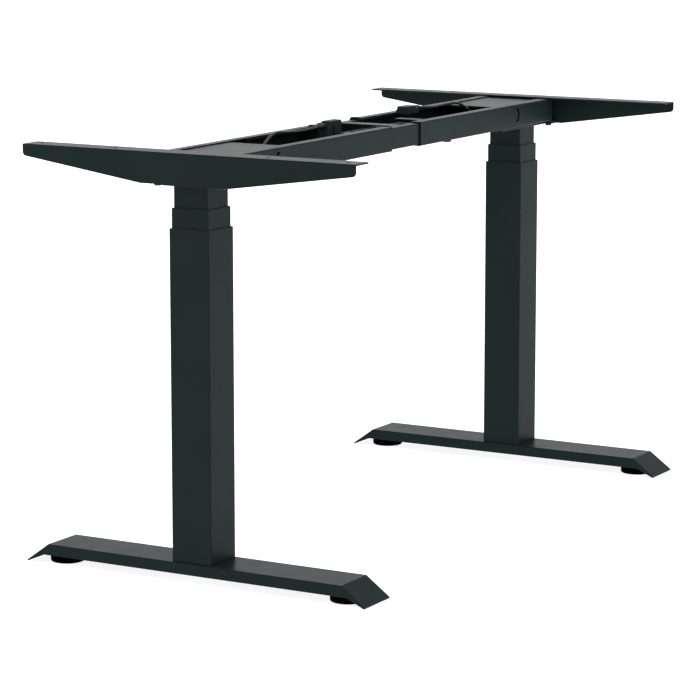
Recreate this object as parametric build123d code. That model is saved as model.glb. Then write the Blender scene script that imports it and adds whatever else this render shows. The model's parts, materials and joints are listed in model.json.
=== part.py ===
from build123d import *

import os

# Frame of a height adjustable standing desk: two telescopic lifting columns on flat feet, joined by a
# telescopic cross beam and carrying one tapered side bracket each.
# +X runs from the left leg to the right leg, +Y towards the back, +Z up. The origin is on the floor,
# midway between the two columns. Lengths are millimetres. One STEP file is written for each sub-part.

# ---------------------------------------------------------------- driving dimensions
LEG_X = 540.0  # distance of each column's axis from the middle

# foot: bent sheet channel, open below
FOOT_WIDTH = 81.0
FOOT_TOP = 33.5
FOOT_SHEET = 2.5
FOOT_WALL_BOTTOM = 15.2
FOOT_FLAT = 274.0  # half length of the flat top
FOOT_REACH = 316.0  # half length over the bent toes
TOE_EDGE = 3.2  # height of the toe's upper edge
WALL_FLAT = 283.0  # half length of the straight lower edge of the side walls
FOOT_BEND = 1.6  # outer bend radius
FOOT_BOLT_PITCH = 40.0
MOUNT_PLATE = (72.0, 140.0, 5.0)

# levelling glides
GLIDE_Y = 263.0
GLIDE_RADIUS = 28.0
GLIDE_HEIGHT = 14.4
STUD_RADIUS = 4.0
STUD_TOP = 30.5
GLIDE_NUT_BOTTOM = 14.9
THREAD_PLAY = 0.05

# fasteners: the column bolts and glide studs are M8, everything else is M6
M8_ACROSS, M8_HEAD = 13.0, 5.3
M6_RADIUS, M6_ACROSS, M6_HEAD = 3.0, 10.0, 4.0
M6_CLEARANCE_RADIUS = 3.3
TRAY_BOLT_HEAD = (5.5, 3.0)  # radius and height
TRAY_BOLT_DEPTH, EAR_BOLT_DEPTH = 6.0, 3.2  # how far each bolt goes into the head block
HOLE_DEPTH_SPARE = 0.5
LOCK_BOLT_HEAD = (8.0, 3.5)
LOCK_NUT_SIDES, LOCK_NUT_HEIGHT, NUT_PLAY = (10.0, 10.0), 3.8, 0.2
BOLT_TIP = 1.2  # of the lock bolt past its nut
CUT = 1.0  # how far a cutter runs past the face it opens

# column: three square tubes, each wall 1.5 mm
TUBE_WALL = 1.5
TUBE_CORNER = 2.0
OUTER_SIDE, MID_SIDE, INNER_SIDE = 73.0, 67.5, 62.0
OUTER_TOP, MID_TOP = 565.0, 597.0
MID_BOTTOM, INNER_BOTTOM = 70.0, 106.5
GUIDE_PLAY = 0.1
GUIDE_LENGTH = 60.0

# telescopic spindle inside each column
DRIVE_RADIUS = 6.0
HOLLOW_BORE, HOLLOW_RADIUS = 6.5, 9.0
LOWER_TUBE_BORE, LOWER_TUBE_RADIUS = 11.0, 13.0
UPPER_TUBE_BORE, UPPER_TUBE_RADIUS = 15.0, 17.0
PUSH_PLATE = 5.0  # thickness of the plate that each push tube stands on
LOWER_NUT = (380.0, 405.0)  # bottom and top
UPPER_NUT = (449.0, 470.0)
HOLLOW_ENDS = (70.0, 448.0)
HOLLOW_COLLAR = (440.0, 14.8)  # bottom and radius of the collar at the hollow spindle's top
DRIVE_ENDS = (102.0, 524.0)
GEARBOX = (511.0, 565.0)
MOTOR_TOP = 638.0
TERMINAL_POST = (8.0, 6.0, 658.0)  # half width, half depth, top
MOTOR_RADIUS = 25.0
BEARING_RADIUS = 11.0

# beam and head
TRAY_FRONT, TRAY_BACK = -70.0, 70.0
TRAY_BOTTOM, TRAY_TOP, BEAM_TOP = 641.0, 682.5, 685.0
TRAY_SHEET = 2.0
TRAY_LIP = 18.0
TRAY_BEND = 2.4
TRAY_OUTER_END = 565.0  # distance from the middle of each tray's outer end
TRAY_INNER_END = 51.0
CHANNEL_PLAY = 0.4
CHANNEL_ENDS = (-320.0, 320.0)
CHANNEL_LIP = 16.0
HEAD_BOTTOM = 632.5
HEAD_ENDS = (-142.0, 42.0)  # from the column's axis, outwards
HEAD_HALF = 48.0
HEAD_EAR = (22.0, 70.0, 637.5)  # start, reach and underside
HEAD_PLATE_TOP, HEAD_PLATE_SHEET = 680.5, 3.0
HEAD_PLATE_INNER = 374.0
HEAD_PLATE_GAP = 3.5  # between the plate and each face of the tray
HEAD_PLATE_LEG_INSET = 6.0  # the welded legs stand this far in from the plate's edges
END_FLANGE_GAP = 1.0  # under the head plate's end flange
WIRE_HOLE_RADIUS = 20.0

# side bracket
BRACKET_SHEET = 2.5
BRACKET_OUT = 48.6  # outer face of the web, from the column's axis
BRACKET_FLANGE = 42.0
BRACKET_REACH = 304.0
BRACKET_TIP_HEIGHT = 18.5
BRACKET_LOW = 635.0
BRACKET_FLAT = 81.0
BRACKET_BEND = 2.0
BRACKET_TAB = (48.3, 69.0, 26.0)  # from Y, to Y, width
DESK_HOLES_Y = (140.0, 280.0)
DESK_HOLE_X = 28.0
DESK_HOLE_RADIUS = 3.5

# crescent slot in each tray's front wall
SLOT_RADIUS, SLOT_WIDTH, SLOT_HALF_HEIGHT = 13.0, 6.0, 12.5
SLOT_X, SLOT_Z = 427.0, 663.5

# what lies in the beam
CONTROL_BOX_SIDES = (-105.0, 105.0, -44.0, 2.0)  # its ends in X, then in Y
CONTROL_BOX_TOP = 675.5
LID_RIB_HEIGHT, LID_RIB_WIDTH, LID_RIB_PITCH = 1.5, 4.0, 12.0
LID_MARGIN = (20.0, 8.0)  # from the lid's edges to its ribs, in X and Y
CONNECTORS = {
    "left": ((-123.0, 14.0, 653.0), (-74.0, 31.0, 693.5)),
    "right": ((186.0, 31.0, 679.0), (231.0, 51.0, 692.5)),
}
HOOK_WIDTH, HOOK_REACH, HOOK_SHEET = 12.0, 62.0, 2.0  # hook over the tray's back lip
STRAP = (-12.0, 15.0)
TAB = (84.0, 104.0)
TAB_END_Y = 0.0
TAB_RISE = 2.0
STRAP_SHEET = 2.0
CABLE_RADIUS = 2.5
CABLE_ROUTES = {
    "left": [
        (-123, 22, 686),
        (-143, 22, 686),
        (-178, 28, 682.5),
        (-222, 31, 684),
        (-268, 31, 688.5),
        (-304, 28, 672),
        (-334, 22, 657),
        (-374, 14, 652),
        (-430, 6, 653),
        (-482, 0, 652),
        (-532, 0, 652),
    ],
    "right": [
        (231, 41, 687),
        (250, 41, 687),
        (282, 33, 683.5),
        (314, 22, 687),
        (340, 10, 690),
        (362, 2, 677),
        (378, -3, 663),
        (404, -6, 654),
        (440, -4, 651.5),
        (486, 0, 652),
        (532, 0, 652),
    ],
}
LOCK_BOLT_X = 165.0
LOCK_BOLT_Y = {"left": 46.0, "right": 60.0}
LOCK_SLOT = (110.0, 300.0)  # ends of each lock slot, from the middle

SIDES = {"left": -1, "right": 1}


# ---------------------------------------------------------------- helpers
def block(x0, x1, y0, y1, z0, z1):
    """A box between two corners."""
    size = (x1 - x0, y1 - y0, z1 - z0)
    return Pos((x0 + x1) / 2, (y0 + y1) / 2, (z0 + z1) / 2) * Box(*size)


def rod(radius, z0, z1, x=0.0, y=0.0):
    """An upright cylinder."""
    return Pos(x, y, (z0 + z1) / 2) * Cylinder(radius, z1 - z0)


def pipe(bore, radius, z0, z1, x=0.0, y=0.0):
    """An upright round tube."""
    return rod(radius, z0, z1, x, y) - rod(bore, z0 - CUT, z1 + CUT, x, y)


def square_bar(side, corner, z0, z1):
    """An upright square bar with rounded edges."""
    return Pos(0, 0, z0) * extrude(RectangleRounded(side, side, corner), z1 - z0)


def square_ring(inner, outer, corner, z0, z1):
    """An upright square tube between two sides. corner is the outer edge radius."""
    wall = (outer - inner) / 2
    hole = square_bar(inner, max(corner - wall, 0.5), z0 - CUT, z1 + CUT)
    return square_bar(outer, corner, z0, z1) - hole


def profile_along_x(points, x0, x1):
    """A closed outline of (y, z) points, drawn out along X."""
    face = make_face(Polyline(*points, close=True))
    return Pos(x0, 0, 0) * extrude(Plane.YZ * face, x1 - x0)


def hexagon(across, z0, z1, x=0.0, y=0.0):
    """A hexagonal head or nut."""
    return Pos(x, y, z0) * extrude(RegularPolygon(across / 2, 6, major_radius=False), z1 - z0)


def bolt(radius, across, head, shank, x=0.0, y=0.0):
    """A hex bolt pointing up: head and shank are (bottom, top) heights."""
    return hexagon(across, *head, x, y) + rod(radius, *shank, x, y)


def lipped_channel(front, back, bottom, top, sheet, lip, bend, x0, x1):
    """A bent sheet channel along X, open at the top, whose two lips turn inwards."""
    outline = [
        (front + lip, top),
        (front, top),
        (front, bottom),
        (back, bottom),
        (back, top),
        (back - lip, top),
        (back - lip, top - sheet),
        (back - sheet, top - sheet),
        (back - sheet, bottom + sheet),
        (front + sheet, bottom + sheet),
        (front + sheet, top - sheet),
        (front + lip, top - sheet),
    ]
    channel = profile_along_x(outline, x0, x1)
    runs = channel.edges().filter_by(Axis.X)
    outer = [e for e in runs if at_corner(e, (front, back), (bottom, top))]
    channel = fillet(outer, bend)
    runs = channel.edges().filter_by(Axis.X)
    inner = [e for e in runs if at_corner(e, (front + sheet, back - sheet), (bottom + sheet, top - sheet))]
    return fillet(inner, bend - sheet)


def at_corner(edge, ys, zs):
    """True if a straight edge along X passes through one of the corners of ys and zs."""
    middle = edge.center()
    near = 0.01
    return any(abs(middle.Y - y) < near for y in ys) and any(abs(middle.Z - z) < near for z in zs)


def arc_tube(points, radius):
    """A round tube on straight runs joined by tangent arcs. Gives the tube, its length and its arc radii."""
    path = [Vector(*p) for p in points]
    radii = []
    for before, here, after in zip(path, path[1:], path[2:]):
        turn = (here - before).get_angle(after - here)
        shorter = min((here - before).length, (after - here).length)
        radii.append(0.45 * shorter / tan_degrees(turn / 2))
    line = FilletPolyline(*path, radius=radii)
    start = Plane(origin=path[0], z_dir=path[1] - path[0])
    return sweep(start * Circle(radius), path=line), line.length, radii


def tan_degrees(angle):
    """Tangent of an angle in degrees, from the ratio of two rotated unit vector parts."""
    turned = Vector(1, 0, 0).rotate(Axis.Z, angle)
    return turned.Y / turned.X


# ---------------------------------------------------------------- foot
def foot_channel():
    """Flat foot: top sheet bent down at both ends as toes, with a low wall along each side."""
    toe = Vector(FOOT_REACH - FOOT_FLAT, TOE_EDGE - FOOT_TOP).normalized()
    under = (FOOT_REACH + FOOT_SHEET * toe.Y, TOE_EDGE - FOOT_SHEET * toe.X)
    bend_in = FOOT_FLAT - FOOT_SHEET * (1 - toe.X) / -toe.Y
    low = FOOT_TOP - FOOT_SHEET
    half = [(FOOT_FLAT, FOOT_TOP), (FOOT_REACH, TOE_EDGE), under, (WALL_FLAT, FOOT_WALL_BOTTOM)]
    outline = half + [(-y, z) for y, z in reversed(half)]
    hollow = [(bend_in, low), under, (under[0], -TOE_EDGE)]
    hollow = hollow + [(-y, z) for y, z in reversed(hollow)]
    w = FOOT_WIDTH / 2
    foot = profile_along_x(outline, -w, w) - profile_along_x(hollow, FOOT_SHEET - w, w - FOOT_SHEET)
    top = [e for e in foot.edges() if abs(abs(e.center().X) - w) < 0.01 and on_upper_face(e)]
    foot = fillet(top, FOOT_BEND)
    for x, y in bolt_places():
        foot -= rod(STUD_RADIUS + 0.5, low - CUT, FOOT_TOP + CUT, x, y)
    return foot


def on_upper_face(edge):
    """True for the edges where the side walls meet the top sheet and the toes."""
    c, d = edge.center(), edge.length
    on_top = abs(c.Z - FOOT_TOP) < 0.01 and d > FOOT_FLAT
    on_toe = abs(abs(c.Y) - (FOOT_FLAT + FOOT_REACH) / 2) < 3 and c.Z > (FOOT_TOP + TOE_EDGE) / 2 - 2
    return on_top or (on_toe and d > (FOOT_REACH - FOOT_FLAT) / 2)


def bolt_places():
    """The four bolt positions under a column."""
    p = FOOT_BOLT_PITCH / 2
    return [(x, y) for x in (-p, p) for y in (-p, p)]


def foot_mount_plate():
    """Thick plate under the foot's top sheet that the column bolts clamp."""
    width, length, thick = MOUNT_PLATE
    top = FOOT_TOP - FOOT_SHEET
    plate = block(-width / 2, width / 2, -length / 2, length / 2, top - thick, top)
    for x, y in bolt_places():
        plate -= rod(STUD_RADIUS + 0.5, top - thick - CUT, top + CUT, x, y)
    return plate


def foot_bolts():
    """Four bolts from under the mount plate into the column's base."""
    seat = FOOT_TOP - FOOT_SHEET - MOUNT_PLATE[2]
    shank = (seat, FOOT_TOP + PUSH_PLATE)
    head = (seat - M8_HEAD, seat)
    return Compound([bolt(STUD_RADIUS, M8_ACROSS, head, shank, x, y) for x, y in bolt_places()])


def glide_nuts():
    """Two long nuts welded under the foot's top sheet."""
    low = FOOT_TOP - FOOT_SHEET
    nuts = []
    for y in (-GLIDE_Y, GLIDE_Y):
        nut = hexagon(M8_ACROSS, GLIDE_NUT_BOTTOM, low, 0, y)
        nuts.append(nut - rod(STUD_RADIUS + THREAD_PLAY, GLIDE_NUT_BOTTOM - CUT, low + CUT, 0, y))
    return Compound(nuts)


def glide(y):
    """Levelling glide: round pad moulded on a threaded stud."""
    pad = rod(GLIDE_RADIUS, 0, GLIDE_HEIGHT)
    rims = pad.edges().filter_by(GeomType.CIRCLE).sort_by(Axis.Z)
    pad = fillet(rims[0], 2.5)
    pad = chamfer(pad.edges().filter_by(GeomType.CIRCLE).sort_by(Axis.Z)[-1], 1.0)
    return Pos(0, y, 0) * (pad + rod(STUD_RADIUS, GLIDE_HEIGHT - 1, STUD_TOP))


# ---------------------------------------------------------------- column
def column_tube(side, z0, z1):
    """One stage of the column."""
    return square_ring(side - 2 * TUBE_WALL, side, TUBE_CORNER, z0, z1)


def guide_ring(inner_tube_side, outer_tube_side, z0, z1, fixed_to_outer):
    """Plastic sliding guide that fills the gap between two stages, apart from a little play."""
    bore = outer_tube_side - 2 * TUBE_WALL
    play = 2 * GUIDE_PLAY
    inner = inner_tube_side + (play if fixed_to_outer else 0)
    outer = bore - (0 if fixed_to_outer else play)
    return square_ring(inner, outer, TUBE_CORNER - TUBE_WALL / 2, z0, z1)


def push_tube(bore, radius, side, hole, z0, z1):
    """A round tube standing on a square plate that fits inside a stage."""
    plate = square_bar(side - 2 * TUBE_WALL, TUBE_CORNER - TUBE_WALL, z0, z0 + PUSH_PLATE)
    return plate + rod(radius, z0, z1) - rod(bore, z0 + PUSH_PLATE, z1 + CUT) - rod(hole, z0 - CUT, z1 + CUT)


def lower_push_tube():
    """Base plate of the column with the tube that carries the lower nut."""
    tube = push_tube(LOWER_TUBE_BORE, LOWER_TUBE_RADIUS, OUTER_SIDE, STUD_RADIUS, FOOT_TOP, LOWER_NUT[0])
    for x, y in bolt_places():
        tube -= rod(STUD_RADIUS + THREAD_PLAY, FOOT_TOP - CUT, FOOT_TOP + PUSH_PLATE + CUT, x, y)
    return tube


def upper_push_tube():
    """Bottom plate of the middle stage with the tube that carries the upper nut."""
    clear = LOWER_TUBE_RADIUS + 1.0
    return push_tube(UPPER_TUBE_BORE, UPPER_TUBE_RADIUS, MID_SIDE, clear, MID_BOTTOM, UPPER_NUT[0])


def hollow_spindle():
    """Threaded tube that turns with the drive spindle and lifts the middle stage."""
    z0, z1 = HOLLOW_ENDS
    collar_bottom, collar_radius = HOLLOW_COLLAR
    return pipe(HOLLOW_BORE, HOLLOW_RADIUS, z0, z1) + pipe(HOLLOW_BORE, collar_radius, collar_bottom, z1)


def mid_tube_guides():
    """Two guides of the middle stage: one at its foot, outside, and one at its head, inside."""
    foot = guide_ring(MID_SIDE, OUTER_SIDE, MID_BOTTOM + 2, MID_BOTTOM + GUIDE_LENGTH, False)
    head = guide_ring(INNER_SIDE, MID_SIDE, MID_TOP - GUIDE_LENGTH, MID_TOP + 0.6, True)
    return Compound([foot, head])


def gearbox():
    """Planetary gearbox with the square mounting flange that fills the inner stage."""
    z0, z1 = GEARBOX
    flange = square_bar(INNER_SIDE - 2 * TUBE_WALL, TUBE_CORNER - TUBE_WALL, z0 - 6, z0)
    bearing_seat = rod(BEARING_RADIUS, z0 - 7, z0 + CUT)
    socket = rod(DRIVE_RADIUS + THREAD_PLAY, z0 - 7, DRIVE_ENDS[1] + CUT)
    bearing = pipe(DRIVE_RADIUS + THREAD_PLAY, BEARING_RADIUS, z0 - 6, z0)
    housing = flange + rod(MOTOR_RADIUS, z0, z1) - bearing_seat - socket
    return Compound([housing, bearing])


def motor():
    """Drive motor, upright in the head of the inner stage, with its end cap and terminal block."""
    body = rod(MOTOR_RADIUS - 1, GEARBOX[1], MOTOR_TOP - 6)
    cap = rod(MOTOR_RADIUS - 4, MOTOR_TOP - 6, MOTOR_TOP)
    half_x, half_y, top = TERMINAL_POST
    terminals = block(-half_x, half_x, -half_y, half_y, MOTOR_TOP, top)
    return body + cap + terminals


# ---------------------------------------------------------------- head and bracket, drawn for the right leg
def head_block():
    """Cast block that holds the inner stage under the tray, with two ears for the bracket bolts."""
    x0, x1 = HEAD_ENDS
    ear_x, ear_y, ear_z = HEAD_EAR
    body = block(x0, x1, -HEAD_HALF, HEAD_HALF, HEAD_BOTTOM, TRAY_BOTTOM)
    body = fillet(body.edges().filter_by(Axis.Z), 4)
    body = fillet(body.edges().group_by(Axis.Z)[0], 1.5)
    ears = block(ear_x, x1, -ear_y, ear_y, ear_z, TRAY_BOTTOM)
    head = body + fillet(ears.edges().filter_by(Axis.Z), 3)
    head -= square_bar(INNER_SIDE, TUBE_CORNER, HEAD_BOTTOM - CUT, TRAY_BOTTOM + CUT)
    thread = M6_RADIUS + THREAD_PLAY
    for x, y in tray_bolt_places():
        head -= rod(thread, TRAY_BOTTOM - TRAY_BOLT_DEPTH - HOLE_DEPTH_SPARE, TRAY_BOTTOM + CUT, x, y)
    for x, y in bracket_bolt_places():
        head -= rod(thread, ear_z - CUT, TRAY_BOTTOM + CUT, x, y)
    return head


def tray_bolt_places():
    """Bolts that hold the tray to the head block."""
    return [(x, y) for x in (-125.0, -45.0) for y in (-38.0, 38.0)]


def bracket_bolt_places():
    """Bolts that hold the bracket's tabs to the head block's ears."""
    y0, y1, _ = BRACKET_TAB
    return [(HEAD_ENDS[1] - 9, y) for y in (-(y0 + y1) / 2, (y0 + y1) / 2)]


def head_bolts():
    """Four tray bolts from above and two bracket bolts from below."""
    floor = TRAY_BOTTOM + TRAY_SHEET
    head_radius, head_height = TRAY_BOLT_HEAD
    bolts = []
    for x, y in tray_bolt_places():
        shank = rod(M6_RADIUS, TRAY_BOTTOM - TRAY_BOLT_DEPTH, floor, x, y)
        bolts.append(shank + rod(head_radius, floor, floor + head_height, x, y))
    for x, y in bracket_bolt_places():
        shank = (BRACKET_LOW, HEAD_EAR[2] + EAR_BOLT_DEPTH)
        bolts.append(bolt(M6_RADIUS, M6_ACROSS, (BRACKET_LOW - M6_HEAD, BRACKET_LOW), shank, x, y))
    return Compound(bolts)


def head_plate():
    """Bridge plate over the tray's end, on two welded legs, with an end flange behind the bracket."""
    x0 = HEAD_PLATE_INNER - LEG_X
    x1 = BRACKET_OUT - BRACKET_SHEET
    y0, y1 = TRAY_FRONT + HEAD_PLATE_GAP, TRAY_BACK - HEAD_PLATE_GAP
    low = HEAD_PLATE_TOP - HEAD_PLATE_SHEET
    floor = TRAY_BOTTOM + TRAY_SHEET
    tray_end = TRAY_OUTER_END - LEG_X
    plate = block(x0, x1, y0, y1, low, HEAD_PLATE_TOP)
    front, back = y0 + HEAD_PLATE_LEG_INSET, y1 - HEAD_PLATE_LEG_INSET
    for a, b in ((front, front + HEAD_PLATE_SHEET), (back - HEAD_PLATE_SHEET, back)):
        plate += block(x0, tray_end - TRAY_SHEET, a, b, floor, low)
    plate += block(x1 - HEAD_PLATE_SHEET, x1, y0, y1, TRAY_BOTTOM + END_FLANGE_GAP, low)
    upper = plate.edges().filter_by(Axis.X).group_by(Axis.Z)[-1]
    return fillet(upper, 1.5)


def side_bracket():
    """Tapered angle that the desk top is screwed to: web outside, flange inwards, two tabs below."""
    x1 = BRACKET_OUT
    x0 = x1 - BRACKET_SHEET
    tip = BEAM_TOP - BRACKET_TIP_HEIGHT
    half = [(BRACKET_REACH, BEAM_TOP), (BRACKET_REACH, tip), (BRACKET_FLAT, BRACKET_LOW)]
    web = profile_along_x(half + [(-y, z) for y, z in reversed(half)], x0, x1)
    corners = [e for e in web.edges().filter_by(Axis.X) if abs(e.center().Z - tip) < 0.1]
    web = fillet(corners, 7)
    knees = [e for e in web.edges().filter_by(Axis.X) if abs(e.center().Z - BRACKET_LOW) < 0.1]
    web = fillet(knees, 12)
    inner = x1 - BRACKET_FLANGE
    low = BEAM_TOP - BRACKET_SHEET
    flange = block(inner, x1, -BRACKET_REACH, BRACKET_REACH, low, BEAM_TOP)
    flange = fillet(flange.edges().filter_by(Axis.Z).group_by(Axis.X)[0], 3)
    bracket = web + flange
    y0, y1, tab_width = BRACKET_TAB
    for a, b in ((y0, y1), (-y1, -y0)):
        tab = block(x1 - tab_width, x1, a, b, BRACKET_LOW, BRACKET_LOW + BRACKET_SHEET)
        bracket += fillet(tab.edges().filter_by(Axis.Z).group_by(Axis.X)[0], 4)
    bend = [e for e in bracket.edges().filter_by(Axis.Y) if abs(e.center().Z - BEAM_TOP) < 0.01]
    bracket = fillet([e for e in bend if abs(e.center().X - x1) < 0.01], BRACKET_BEND)
    for y in DESK_HOLES_Y:
        for s in (-1, 1):
            bracket -= rod(DESK_HOLE_RADIUS, low - CUT, BEAM_TOP + CUT, DESK_HOLE_X, s * y)
    for x, y in bracket_bolt_places():
        bracket -= rod(M6_CLEARANCE_RADIUS, BRACKET_LOW - CUT, BRACKET_LOW + BRACKET_SHEET + CUT, x, y)
    return bracket


# ---------------------------------------------------------------- beam
def crescent():
    """Cutter for the crescent slot in the front wall of the right tray, bulging outwards."""
    ring = Circle(SLOT_RADIUS + SLOT_WIDTH / 2) - Circle(SLOT_RADIUS - SLOT_WIDTH / 2)
    window = Pos(SLOT_RADIUS, 0) * Rectangle(SLOT_RADIUS * 1.6, 2 * SLOT_HALF_HEIGHT)
    shape = Plane.XZ * (ring & window)
    depth = 3 * TRAY_SHEET
    return Pos(SLOT_X - SLOT_RADIUS, TRAY_FRONT + 2 * TRAY_SHEET, SLOT_Z) * extrude(shape, depth)


def beam_tray(side):
    """Outer part of the beam on one side, with a wire hole over the column."""
    ends = (TRAY_INNER_END, TRAY_OUTER_END)
    sheet = TRAY_SHEET
    tray = lipped_channel(TRAY_FRONT, TRAY_BACK, TRAY_BOTTOM, TRAY_TOP, sheet, TRAY_LIP, TRAY_BEND, *ends)
    over, under = TRAY_BOTTOM + sheet + CUT, TRAY_BOTTOM - CUT
    tray -= rod(WIRE_HOLE_RADIUS, under, over, LEG_X, 0)
    for x, y in tray_bolt_places():
        tray -= rod(M6_CLEARANCE_RADIUS, under, over, LEG_X + x, y)
    tray -= crescent()
    for y in (-LOCK_BOLT_Y[side], LOCK_BOLT_Y[side]):
        tray -= rod(M6_CLEARANCE_RADIUS, under, over, LOCK_BOLT_X, y)
    return tray if SIDES[side] > 0 else tray.mirror(Plane.YZ)


def width_lock_bolts(side):
    """Round headed lock bolts with their square nuts inside the channel."""
    top = channel_floor() + TRAY_SHEET
    head_radius, head_height = LOCK_BOLT_HEAD
    parts = []
    x = SIDES[side] * LOCK_BOLT_X
    for y in (-LOCK_BOLT_Y[side], LOCK_BOLT_Y[side]):
        head = rod(head_radius, TRAY_BOTTOM - head_height, TRAY_BOTTOM, x, y)
        head = fillet(head.edges().filter_by(GeomType.CIRCLE).group_by(Axis.Z)[0], 1.5)
        nut = Pos(x, y, top + NUT_PLAY + LOCK_NUT_HEIGHT / 2) * Box(*LOCK_NUT_SIDES, LOCK_NUT_HEIGHT)
        parts.append(head + rod(M6_RADIUS, TRAY_BOTTOM, top + LOCK_NUT_HEIGHT + BOLT_TIP, x, y) + nut)
    return Compound(parts)


def channel_floor():
    """Underside of the centre channel."""
    return TRAY_BOTTOM + TRAY_SHEET + 0.3


def channel_sides():
    """Front, back and top of the centre channel."""
    gap = TRAY_SHEET + CHANNEL_PLAY
    return TRAY_FRONT + gap, TRAY_BACK - gap, TRAY_TOP - TRAY_SHEET - 0.3


def centre_channel():
    """Inner part of the beam that both trays slide on, with a slot for each lock bolt."""
    front, back, top = channel_sides()
    floor = channel_floor()
    channel = lipped_channel(front, back, floor, top, TRAY_SHEET, CHANNEL_LIP, TRAY_BEND, *CHANNEL_ENDS)
    near, far = LOCK_SLOT
    for side, x0, x1 in (("left", -far, -near), ("right", near, far)):
        for y in (-LOCK_BOLT_Y[side], LOCK_BOLT_Y[side]):
            slot = block(x0, x1, y - 3.5, y + 3.5, floor - CUT, floor + TRAY_SHEET + CUT)
            channel -= fillet(slot.edges().filter_by(Axis.Z), 3.4)
    return channel


def cross_straps():
    """Strap across the middle of the channel and the short tab beside it, level with the channel's lips."""
    front, back, top = channel_sides()
    low = top - STRAP_SHEET
    y0 = front + CHANNEL_LIP
    strap = block(*STRAP, y0, back - CHANNEL_LIP, low, top)
    root = block(*TAB, y0, y0 + 8, low, top)
    tongue = block(*TAB, y0 + 4, TAB_END_Y, low + TAB_RISE, top + TAB_RISE)
    tongue = fillet(tongue.edges().filter_by(Axis.Z).group_by(Axis.Y)[-1], 4)
    tab = root + tongue
    post = block(TAB[0] + 6, TAB[1] - 6, TAB_END_Y - 18, TAB_END_Y - 6, CONTROL_BOX_TOP, low + TAB_RISE)
    return Compound([strap, tab + post])


def control_box():
    """Control unit between the straps and the channel's floor, with ribs on its lid."""
    x0, x1, y0, y1 = CONTROL_BOX_SIDES
    z0, z1 = channel_floor() + TRAY_SHEET, CONTROL_BOX_TOP
    box = block(x0, x1, y0, y1, z0, z1 - LID_RIB_HEIGHT)
    box = fillet(box.edges().filter_by(Axis.Z), 5)
    margin_x, margin_y = LID_MARGIN
    count = int((x1 - x0 - 2 * margin_x) // LID_RIB_PITCH)
    half = LID_RIB_WIDTH / 2
    for i in range(count):
        x = x0 + margin_x + (i + 0.5) * LID_RIB_PITCH
        box += block(x - half, x + half, y0 + margin_y, y1 - margin_y, z1 - LID_RIB_HEIGHT, z1)
    return box


def connector(side):
    """Motor plug housing that hooks over the tray's back lip and rises above it."""
    (x0, y0, z0), (x1, y1, z1) = CONNECTORS[side]
    body = block(x0, x1, y0, y1, z0, z1 - 4)
    cap = block(x0 + 9, x1, y0, y1, z1 - 4, z1) if side == "left" else block(x0, x1 - 9, y0, y1, z1 - 4, z1)
    housing = body + fillet(cap.edges().filter_by(Axis.Z), 2)
    middle = (x0 + x1) / 2
    half = HOOK_WIDTH / 2
    hook = block(middle - half, middle + half, y1 - 1, HOOK_REACH, TRAY_TOP, TRAY_TOP + HOOK_SHEET)
    latch = block(middle - 3, middle + 3, y0 - 2, y0, z0, z1 - 6)
    return housing + hook + latch


def motor_cable(side):
    """Motor lead from the plug housing, over the channel and under the head plate to the motor."""
    tube, length, radii = arc_tube(CABLE_ROUTES[side], CABLE_RADIUS)
    section = (Circle(CABLE_RADIUS)).area
    print(side, "cable length", round(length, 1), "volume share", round(tube.volume / section / length, 4))
    print("  arc radii", [round(r, 1) for r in radii])
    return tube


# ---------------------------------------------------------------- write the sub-parts
def leg_parts(side):
    """Every sub-part of one leg, in place."""
    s = SIDES[side]
    outer_guide = (OUTER_TOP - GUIDE_LENGTH, OUTER_TOP + 0.6)
    inner_guide = (INNER_BOTTOM + 2, INNER_BOTTOM + GUIDE_LENGTH)
    upright = {
        "foot_channel": foot_channel(),
        "foot_mount_plate": foot_mount_plate(),
        "foot_bolts": foot_bolts(),
        "glide_nuts": glide_nuts(),
        "front_glide": glide(-GLIDE_Y),
        "rear_glide": glide(GLIDE_Y),
        "outer_tube": column_tube(OUTER_SIDE, FOOT_TOP, OUTER_TOP),
        "outer_tube_guide": guide_ring(MID_SIDE, OUTER_SIDE, *outer_guide, True),
        "lower_push_tube": lower_push_tube(),
        "lower_spindle_nut": pipe(HOLLOW_RADIUS + THREAD_PLAY, LOWER_TUBE_RADIUS, *LOWER_NUT),
        "mid_tube": column_tube(MID_SIDE, MID_BOTTOM, MID_TOP),
        "mid_tube_guides": mid_tube_guides(),
        "upper_push_tube": upper_push_tube(),
        "upper_spindle_nut": pipe(DRIVE_RADIUS + THREAD_PLAY, UPPER_TUBE_RADIUS, *UPPER_NUT),
        "hollow_spindle": hollow_spindle(),
        "drive_spindle": rod(DRIVE_RADIUS, *DRIVE_ENDS),
        "inner_tube": column_tube(INNER_SIDE, INNER_BOTTOM, TRAY_BOTTOM),
        "inner_tube_guide": guide_ring(INNER_SIDE, MID_SIDE, *inner_guide, False),
        "gearbox": gearbox(),
        "motor": motor(),
    }
    handed = {
        "head_block": head_block(),
        "head_bolts": head_bolts(),
        "head_plate": head_plate(),
        "side_bracket": side_bracket(),
    }
    for name, shape in handed.items():
        upright[name] = shape if s > 0 else shape.mirror(Plane.YZ)
    return {f"{side}_{name}": Pos(s * LEG_X, 0, 0) * shape for name, shape in upright.items()}


def main():
    os.makedirs("parts", exist_ok=True)
    parts = {}
    for side in SIDES:
        parts.update(leg_parts(side))
        parts[f"{side}_beam_tray"] = beam_tray(side)
        parts[f"{side}_width_lock_bolts"] = width_lock_bolts(side)
        parts[f"{side}_motor_connector"] = connector(side)
        parts[f"{side}_motor_cable"] = motor_cable(side)
    parts["centre_channel"] = centre_channel()
    parts["cross_straps"] = cross_straps()
    parts["control_box"] = control_box()
    for name, shape in parts.items():
        export_step(shape, f"parts/{name}.step")
    print(len(parts), "sub-parts")


main()
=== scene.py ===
import json
import math

import bmesh
import bpy
from mathutils import Matrix, Vector


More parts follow.
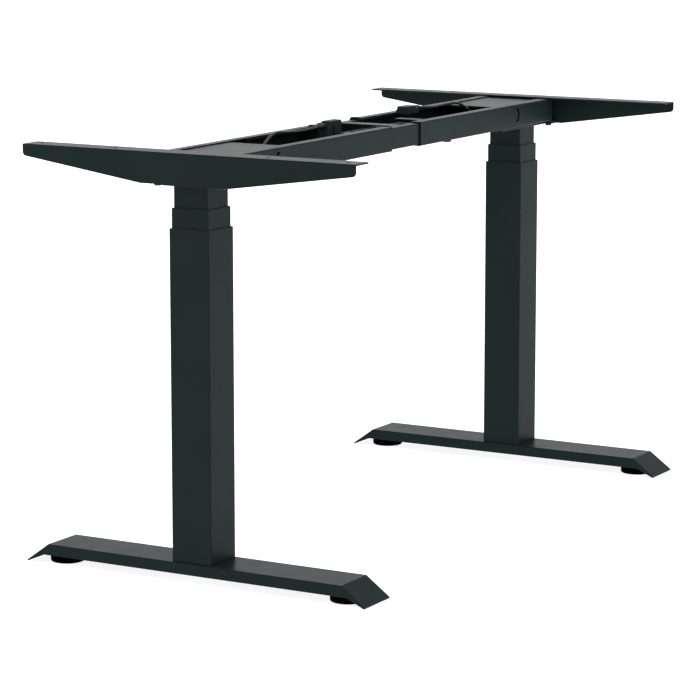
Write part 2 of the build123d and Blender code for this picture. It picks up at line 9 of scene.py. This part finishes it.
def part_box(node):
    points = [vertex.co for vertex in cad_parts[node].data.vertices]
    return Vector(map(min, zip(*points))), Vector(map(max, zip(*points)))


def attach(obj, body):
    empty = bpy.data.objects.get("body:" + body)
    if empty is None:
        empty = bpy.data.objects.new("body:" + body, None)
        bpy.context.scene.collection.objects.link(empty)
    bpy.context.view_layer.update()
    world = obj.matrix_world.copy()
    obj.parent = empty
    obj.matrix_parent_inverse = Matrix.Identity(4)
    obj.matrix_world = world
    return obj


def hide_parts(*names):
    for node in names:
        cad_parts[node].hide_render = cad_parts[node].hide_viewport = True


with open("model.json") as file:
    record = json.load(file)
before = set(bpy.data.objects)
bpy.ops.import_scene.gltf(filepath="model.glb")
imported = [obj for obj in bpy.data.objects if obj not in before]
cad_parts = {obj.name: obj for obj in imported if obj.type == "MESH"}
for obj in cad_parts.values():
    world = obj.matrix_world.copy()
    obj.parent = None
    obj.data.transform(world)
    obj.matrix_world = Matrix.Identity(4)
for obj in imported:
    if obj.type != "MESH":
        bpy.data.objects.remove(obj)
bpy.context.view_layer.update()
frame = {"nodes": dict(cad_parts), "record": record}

# Height adjustable desk frame: looks, motor leads and small moulded details around the packed
# frame, in metres.

# ---------------------------------------------------------------- camera
CAMERA_PLACE = (-4.5024, -2.5188, 1.1935)
CAMERA_YAW, CAMERA_PITCH, CAMERA_ROLL = 29.65, -9.91, 0.0
CAMERA_LENS = 156.8


def make_camera():
    data = bpy.data.cameras.new("camera")
    data.sensor_width = 36.0
    data.lens = CAMERA_LENS
    data.clip_end = 200.0
    camera = bpy.data.objects.new("camera", data)
    bpy.context.scene.collection.objects.link(camera)
    yaw, pitch = math.radians(CAMERA_YAW), math.radians(CAMERA_PITCH)
    level = math.cos(pitch)
    look = Vector((level * math.cos(yaw), level * math.sin(yaw), math.sin(pitch)))
    turn = look.to_track_quat("-Z", "Y").to_matrix().to_4x4()
    roll = Matrix.Rotation(math.radians(-CAMERA_ROLL), 4, "Z")
    camera.matrix_world = Matrix.Translation(CAMERA_PLACE) @ turn @ roll
    bpy.context.scene.camera = camera


# ---------------------------------------------------------------- cables
CABLE_DIAMETER = 0.005
CABLES = {
    "left": (
        0.4184,
        [
            (-0.123, 0.022, 0.686),
            (-0.143, 0.022, 0.686),
            (-0.178, 0.028, 0.6825),
            (-0.222, 0.031, 0.684),
            (-0.268, 0.031, 0.6885),
            (-0.304, 0.028, 0.672),
            (-0.334, 0.022, 0.657),
            (-0.374, 0.014, 0.652),
            (-0.430, 0.006, 0.653),
            (-0.482, 0.000, 0.652),
            (-0.532, 0.000, 0.652),
        ],
    ),
    "right": (
        0.318,
        [
            (0.231, 0.041, 0.687),
            (0.250, 0.041, 0.687),
            (0.282, 0.033, 0.6835),
            (0.314, 0.022, 0.687),
            (0.340, 0.010, 0.690),
            (0.362, 0.002, 0.677),
            (0.378, -0.003, 0.663),
            (0.404, -0.006, 0.654),
            (0.440, -0.004, 0.6515),
            (0.486, 0.000, 0.652),
            (0.532, 0.000, 0.652),
        ],
    ),
}


def make_cable(side, material):
    length, points = CABLES[side]
    curve = bpy.data.curves.new(f"{side}_motor_lead", "CURVE")
    curve.dimensions = "3D"
    curve.bevel_depth = CABLE_DIAMETER / 2
    curve.bevel_resolution = 6
    curve.use_fill_caps = True
    spline = curve.splines.new("NURBS")
    spline.points.add(len(points) - 1)
    for point, place in zip(spline.points, points):
        point.co = (*place, 1.0)
    spline.order_u = 3
    spline.use_endpoint_u = True
    spline.resolution_u = 16
    curve.materials.append(material)
    lead = bpy.data.objects.new(f"{side}_motor_lead", curve)
    bpy.context.scene.collection.objects.link(lead)
    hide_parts(f"{side}_motor_cable")
    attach(lead, f"{side}_top")


# ---------------------------------------------------------------- moulded details
def new_piece(name, grid, material, body, bevel):
    """A closed mesh with softened edges that rides on a body."""
    bmesh.ops.recalc_face_normals(grid, faces=grid.faces)
    mesh = bpy.data.meshes.new(name)
    grid.to_mesh(mesh)
    grid.free()
    piece = bpy.data.objects.new(name, mesh)
    bpy.context.scene.collection.objects.link(piece)
    piece.data.materials.append(material)
    soften = piece.modifiers.new("soften", "BEVEL")
    soften.width = bevel
    soften.segments = 3
    soften.limit_method = "ANGLE"
    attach(piece, body)


def loft(rings):
    """A closed mesh through rings of equally many points, with both ends capped."""
    grid = bmesh.new()
    rows = [[grid.verts.new(point) for point in ring] for ring in rings]
    count = len(rings[0])
    for low, high in zip(rows, rows[1:]):
        for i in range(count):
            j = (i + 1) % count
            grid.faces.new((low[i], low[j], high[j], high[i]))
    grid.faces.new(list(reversed(rows[0])))
    grid.faces.new(rows[-1])
    return grid


TRIM_DEPTH = 0.0008  # how far the edging stands out from the tray's end
TRIM_BEVEL = 0.0002
TRAY_SHEET, TRAY_LIP = 0.002, 0.018


def dark_edging_and_shade(side, material):
    """Near-black edging on the cut edge of a tray's inner end, flush with the tray's faces; its black also
    stands in as painted shade for the gap at the tray's end.
    """
    (x0, y0, z0), (x1, y1, z1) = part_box(f"{side}_beam_tray")
    sign = 1 if side == "right" else -1
    end = x0 if side == "right" else x1
    path = [(y0 + TRAY_LIP, z1), (y0, z1), (y0, z0), (y1, z0), (y1, z1), (y1 - TRAY_LIP, z1)]
    inward = [(0, -1), (1, -1), (1, 1), (-1, 1), (-1, -1), (0, -1)]
    section = [(0.0, -TRIM_DEPTH), (0.0, 0.0), (TRAY_SHEET, 0.0), (TRAY_SHEET, -TRIM_DEPTH)]
    rings = []
    for (y, z), (away_y, away_z) in zip(path, inward):
        rings.append([(end + sign * x, y + away_y * n, z + away_z * n) for n, x in section])
    new_piece(f"{side}_tray_edge_trim", loft(rings), material, f"{side}_top", TRIM_BEVEL)


CLIP_LENGTH, CLIP_RISE = 0.014, 0.0019
CLIP_EDGE_GAP, CLIP_WALL_GAP = 0.003, 0.001  # to the lip's free edge and to the tray's back face
CLIP_CHAMFER, CLIP_SHOULDER = 0.0015, 0.35  # width of the sloping sides, and where they start
CLIP_BEVEL = 0.0003
CLIP_PROFILE = [  # part of the length from the tray's end, part of the rise
    (0.0, 0.6),
    (0.08, 1.0),
    (0.38, 1.0),
    (0.46, 0.45),
    (0.62, 0.45),
    (0.7, 0.8),
    (0.92, 0.8),
    (1.0, 0.3),
]


def lip_clip(side, material):
    """Snap-in glide on a tray's back lip beside its inner end: a low pad with a raised nose."""
    (x0, _, _), (x1, y1, z1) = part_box(f"{side}_beam_tray")
    sign = 1 if side == "right" else -1
    end = x0 if side == "right" else x1
    near, far = y1 - TRAY_LIP + CLIP_EDGE_GAP, y1 - CLIP_WALL_GAP
    rings = []
    for along, rise in CLIP_PROFILE:
        x = end + sign * along * CLIP_LENGTH
        top = z1 + rise * CLIP_RISE
        shoulder = (top - z1) * CLIP_SHOULDER + z1
        outline = [
            (near, z1),
            (far, z1),
            (far, shoulder),
            (far - CLIP_CHAMFER, top),
            (near + CLIP_CHAMFER, top),
            (near, shoulder),
        ]
        rings.append([(x, y, z) for y, z in outline])
    new_piece(f"{side}_lip_clip", loft(rings), material, f"{side}_top", CLIP_BEVEL)


BOOT_RINGS = 9
BOOT_LENGTH, BOOT_ROOT, BOOT_TIP = 0.018, 0.0046, 0.0031  # length, and radius at each end
BOOT_RIB = ((0.0, 0.12, 0.0), (0.12, 0.62, 1.0), (0.62, 1.0, 0.0))  # from, to, raised or not
BOOT_RIB_RISE = 0.00035
BOOT_SIDES = 28
BOOT_BEVEL = 0.00008
SAME_PLACE = 1e-7  # rings closer than this are one ring


def strain_relief(side, material):
    """Ribbed, tapered boot where a motor lead leaves its plug housing."""
    x, y, z = CABLES[side][1][0]
    sign = 1 if side == "right" else -1
    turns = [2 * math.pi * k / BOOT_SIDES for k in range(BOOT_SIDES)]
    rings = []
    for i in range(BOOT_RINGS):
        for start, stop, lift in BOOT_RIB:
            for t in (start, stop):
                along = (i + t) / BOOT_RINGS
                radius = BOOT_ROOT + (BOOT_TIP - BOOT_ROOT) * along + BOOT_RIB_RISE * lift
                place = x + sign * along * BOOT_LENGTH
                ring = [(place, y + radius * math.cos(a), z + radius * math.sin(a)) for a in turns]
                rings.append(ring)
    distinct = [rings[0]]
    for ring in rings[1:]:
        if (Vector(ring[0]) - Vector(distinct[-1][0])).length > SAME_PLACE:
            distinct.append(ring)
    name, boot = f"{side}_strain_relief", loft(distinct)
    new_piece(name, boot, material, f"{side}_top", BOOT_BEVEL)


# ---------------------------------------------------------------- materials
class Nodes:
    """Short calls for building one material's node tree."""

    def __init__(self, name):
        self.material = bpy.data.materials.new(name)
        self.material.use_nodes = True
        self.tree = self.material.node_tree
        self.shader = self.tree.nodes["Principled BSDF"]
        place = self.add("ShaderNodeTexCoord")
        self.place = place.outputs["Object"]

    def add(self, kind, **settings):
        node = self.tree.nodes.new(kind)
        for name, value in settings.items():
            setattr(node, name, value)
        return node

    def link(self, a, b):
        self.tree.links.new(a, b)

    def noise(self, scale, detail=2.0, roughness=0.5):
        node = self.add("ShaderNodeTexNoise")
        node.inputs["Scale"].default_value = scale
        node.inputs["Detail"].default_value = detail
        node.inputs["Roughness"].default_value = roughness
        self.link(self.place, node.inputs["Vector"])
        return node.outputs["Fac"]

    def spread(self, value, low, high, from_low=0.3, from_high=0.7):
        node = self.add("ShaderNodeMapRange")
        node.inputs["From Min"].default_value = from_low
        node.inputs["From Max"].default_value = from_high
        node.inputs["To Min"].default_value = low
        node.inputs["To Max"].default_value = high
        self.link(value, node.inputs["Value"])
        return node.outputs["Result"]

    def mix(self, factor, a, b):
        node = self.add("ShaderNodeMix", data_type="RGBA")
        self.link(factor, node.inputs["Factor"])
        for socket, value in ((node.inputs["A"], a), (node.inputs["B"], b)):
            if isinstance(value, bpy.types.NodeSocket):
                self.link(value, socket)
            else:
                socket.default_value = (*value, 1.0)
        return node.outputs["Result"]

    def edges(self, radius):
        """1 on convex and concave edges, 0 on flat faces."""
        bevel = self.add("ShaderNodeBevel", samples=6)
        bevel.inputs["Radius"].default_value = radius
        plain = self.add("ShaderNodeNewGeometry")
        dot = self.add("ShaderNodeVectorMath", operation="DOT_PRODUCT")
        self.link(bevel.outputs["Normal"], dot.inputs[0])
        self.link(plain.outputs["Normal"], dot.inputs[1])
        return self.spread(dot.outputs["Value"], 1.0, 0.0, 0.75, 0.995)

    def relief(self, height, depth, edge_radius):
        """Surface bump over softened edges."""
        bevel = self.add("ShaderNodeBevel", samples=6)
        bevel.inputs["Radius"].default_value = edge_radius
        bump = self.add("ShaderNodeBump")
        bump.inputs["Distance"].default_value = depth
        bump.inputs["Strength"].default_value = 1.0
        self.link(height, bump.inputs["Height"])
        self.link(bevel.outputs["Normal"], bump.inputs["Normal"])
        self.link(bump.outputs["Normal"], self.shader.inputs["Normal"])


def powder_coat(name, dark, light, edge_highlight, specular=0.3, rough=(0.36, 0.46)):
    """Baked powder paint: fine orange peel, slow changes of gloss and colour, and edges painted paler as a
    painted highlight.
    """
    n = Nodes(name)
    mottle = n.spread(n.noise(9.0, 3.0), 0.0, 1.0)
    body = n.mix(mottle, dark, light)
    # painted highlight: convex and concave edges are mixed towards a paler colour
    edge_highlight_mask = n.spread(n.edges(0.0008), 0.0, 0.6, 0.0, 1.0)
    n.link(n.mix(edge_highlight_mask, body, edge_highlight), n.shader.inputs["Base Color"])
    n.link(n.spread(n.noise(26.0, 4.0), *rough), n.shader.inputs["Roughness"])
    n.shader.inputs["Specular IOR Level"].default_value = specular
    n.relief(n.noise(1500.0, 3.0, 0.6), 0.00006, 0.0007)
    return n.material


def metal(name, dark, light, rough):
    """Bare or plated steel with fine machining marks."""
    n = Nodes(name)
    n.link(n.mix(n.spread(n.noise(60.0, 4.0), 0.0, 1.0), dark, light), n.shader.inputs["Base Color"])
    n.link(n.spread(n.noise(140.0, 4.0), *rough), n.shader.inputs["Roughness"])
    n.shader.inputs["Metallic"].default_value = 1.0
    n.relief(n.noise(1760.0, 2.0), 0.00003, 0.0004)
    return n.material


def plastic(name, dark, light, rough, grain=2200.0, specular=0.35):
    """Moulded plastic with a spark-eroded grain."""
    n = Nodes(name)
    n.link(n.mix(n.spread(n.noise(40.0, 3.0), 0.0, 1.0), dark, light), n.shader.inputs["Base Color"])
    n.link(n.spread(n.noise(90.0, 3.0), *rough), n.shader.inputs["Roughness"])
    n.shader.inputs["Specular IOR Level"].default_value = specular
    n.relief(n.noise(grain, 2.0), 0.00008, 0.0006)
    return n.material


def make_materials():
    # the third colour of each powder_coat is the painted edge highlight
    return {
        "powder_coat": powder_coat(
            "powder_coat",
            (0.0070, 0.0144, 0.0138),
            (0.0080, 0.0158, 0.0150),
            (0.018, 0.026, 0.025),
            specular=0.045,
            rough=(0.37, 0.41),
        ),
        "zinc_steel": metal("zinc_steel", (0.42, 0.43, 0.44), (0.60, 0.61, 0.62), (0.28, 0.42)),
        "bare_steel": metal("bare_steel", (0.34, 0.34, 0.35), (0.50, 0.50, 0.51), (0.22, 0.34)),
        "black_steel": powder_coat("black_steel", (0.008,) * 3, (0.013,) * 3, (0.05,) * 3),
        "guide_plastic": plastic("guide_plastic", (0.010, 0.010, 0.011), (0.016, 0.016, 0.017), (0.42, 0.55)),
        "nut_plastic": plastic("nut_plastic", (0.52, 0.50, 0.45), (0.62, 0.60, 0.55), (0.35, 0.5)),
        "motor_shell": powder_coat("motor_shell", (0.012, 0.012, 0.013), (0.018, 0.018, 0.019), (0.04,) * 3),
        "pad_plastic": plastic(
            "pad_plastic",
            (0.0002, 0.0004, 0.0004),
            (0.0006, 0.0009, 0.0009),
            (0.75, 0.9),
            specular=0.01,
        ),
        "black_plastic": plastic(
            "black_plastic",
            (0.009, 0.016, 0.015),
            (0.014, 0.023, 0.021),
            (0.45, 0.6),
            specular=0.12,
        ),
        "cable_sheath": plastic(
            "cable_sheath",
            (0.010, 0.013, 0.013),
            (0.018, 0.021, 0.021),
            (0.32, 0.42),
            grain=900.0,
        ),
    }


# ---------------------------------------------------------------- stage
FLOOR_GLOW = 0.86  # a lit sweep, so that the shadows under the feet stay pale
FLOOR_HALF = 60.0


def make_floor():
    mesh = bpy.data.meshes.new("floor")
    grid = bmesh.new()
    bmesh.ops.create_grid(grid, x_segments=1, y_segments=1, size=FLOOR_HALF)
    grid.to_mesh(mesh)
    grid.free()
    floor = bpy.data.objects.new("floor", mesh)
    bpy.context.scene.collection.objects.link(floor)
    material = bpy.data.materials.new("floor")
    material.use_nodes = True
    shader = material.node_tree.nodes["Principled BSDF"]
    shader.inputs["Base Color"].default_value = (0.60, 0.60, 0.60, 1.0)
    shader.inputs["Emission Color"].default_value = (1.0, 1.0, 1.0, 1.0)
    shader.inputs["Emission Strength"].default_value = FLOOR_GLOW
    shader.inputs["Roughness"].default_value = 0.9
    shader.inputs["Specular IOR Level"].default_value = 0.0
    mesh.materials.append(material)


WORLD_STRENGTH = 0.85
SUN_STRENGTH = 1.5
SUN_SPREAD = 70  # degrees
SUN_DIRECTION = (0.10, 0.27, -1.0)


def make_light():
    world = bpy.data.worlds.new("studio")
    world.use_nodes = True
    world.node_tree.nodes["Background"].inputs["Color"].default_value = (1.0, 1.0, 1.0, 1.0)
    world.node_tree.nodes["Background"].inputs["Strength"].default_value = WORLD_STRENGTH
    bpy.context.scene.world = world
    data = bpy.data.lights.new("overhead", "SUN")
    data.energy = SUN_STRENGTH
    data.angle = math.radians(SUN_SPREAD)
    sun = bpy.data.objects.new("overhead", data)
    bpy.context.scene.collection.objects.link(sun)
    sun.rotation_euler = Vector(SUN_DIRECTION).to_track_quat("-Z", "Y").to_euler()
    make_back_softbox()
    bpy.context.scene.view_settings.view_transform = "Standard"


SOFTBOX_DISTANCE, SOFTBOX_HEIGHT = 6.0, 1.9
SOFTBOX_SIZE = (7.0, 2.2)
SOFTBOX_POWER = 42.0
SOFTBOX_AIM = (0.0, 0.0, 0.4)


def make_back_softbox():
    """Wide low softbox behind the desk that skims its upper faces."""
    data = bpy.data.lights.new("back_softbox", "AREA")
    data.shape = "RECTANGLE"
    data.size, data.size_y = SOFTBOX_SIZE
    data.energy = SOFTBOX_POWER
    box = bpy.data.objects.new("back_softbox", data)
    bpy.context.scene.collection.objects.link(box)
    yaw = math.radians(CAMERA_YAW)
    x, y = SOFTBOX_DISTANCE * math.cos(yaw), SOFTBOX_DISTANCE * math.sin(yaw)
    box.location = (x, y, SOFTBOX_HEIGHT)
    aim = Vector(SOFTBOX_AIM) - Vector(box.location)
    box.rotation_euler = aim.to_track_quat("-Z", "Y").to_euler()


def main():
    make_camera()
    materials = make_materials()
    for side in CABLES:
        make_cable(side, materials["cable_sheath"])
        # near-black edging at the tray's end, partly painted shade for the gap there
        dark_edging_and_shade(side, materials["pad_plastic"])
        lip_clip(side, materials["black_plastic"])
        strain_relief(side, materials["cable_sheath"])
    slots = {row["node"]: row["material_slot"] for row in frame["record"]["subparts"]}
    for node, piece in frame["nodes"].items():
        piece.data.materials.clear()
        piece.data.materials.append(materials[slots[node]])
    make_floor()
    make_light()


main()
